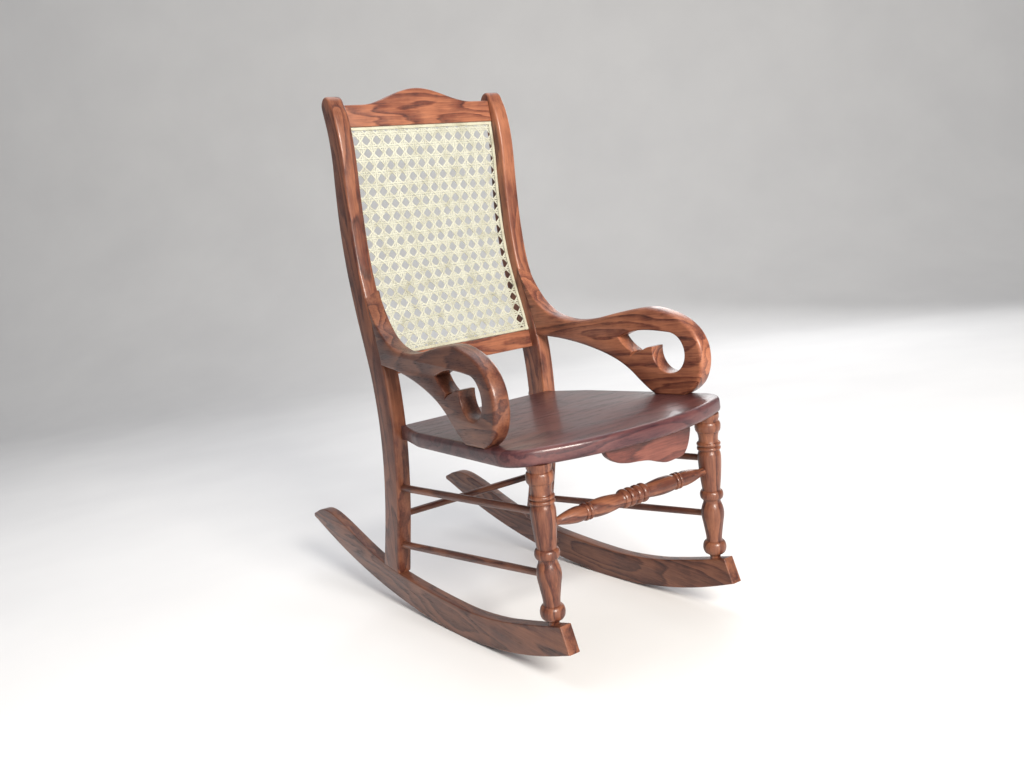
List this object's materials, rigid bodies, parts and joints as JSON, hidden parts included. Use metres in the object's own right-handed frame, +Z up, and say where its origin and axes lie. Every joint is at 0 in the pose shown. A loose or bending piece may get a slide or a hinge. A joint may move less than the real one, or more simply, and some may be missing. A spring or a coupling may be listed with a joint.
{
  "type": "rocking chair",
  "caption": "Small turned-leg wooden rocking chair with a solid seat, curled sawn arms with teardrop cut-outs, bowed rear posts and a woven cane back.",
  "frame": {"origin": "centre of the footprint at floor level, with the chair standing at rest on its rockers", "axes": "+Z up, -Y the way the sitter faces, +X the sitter's left"},
  "size_m": [0.3346, 0.7207, 0.7333],
  "materials": {
    "stained_oak": "brown stained, glossy varnish over open oak grain",
    "seat_oak": "brown stained, glossy varnish over open oak grain",
    "apron_oak": "redder brown stain, satin varnish",
    "cane": "natural pale woven cane, satin",
    "cane_trim": "natural pale binder cane, satin",
    "dowel": "bare hardwood, hidden in the joints",
    "screw_steel": "plain steel, hidden in the wood"
  },
  "bodies": {
    "root": {"seat_board": "seat_oak", "front_apron": "apron_oak", "leg_front_left": "stained_oak", "leg_front_right": "stained_oak", "post_left": "stained_oak", "post_right": "stained_oak", "crest_rail": "stained_oak", "lower_back_rail": "stained_oak", "cane_panel": "cane", "cane_binding": "cane_trim", "arm_left": "stained_oak", "arm_right": "stained_oak", "rocker_left": "stained_oak", "rocker_right": "stained_oak", "stretcher_front": "stained_oak", "stretcher_rear": "stained_oak", "stretcher_upper_left": "stained_oak", "stretcher_upper_right": "stained_oak", "stretcher_lower_left": "stained_oak", "stretcher_lower_right": "stained_oak", "rocker_dowels": "dowel", "arm_dowels": "dowel", "arm_screws": "screw_steel", "seat_screws": "screw_steel"}
  },
  "joints": []
}
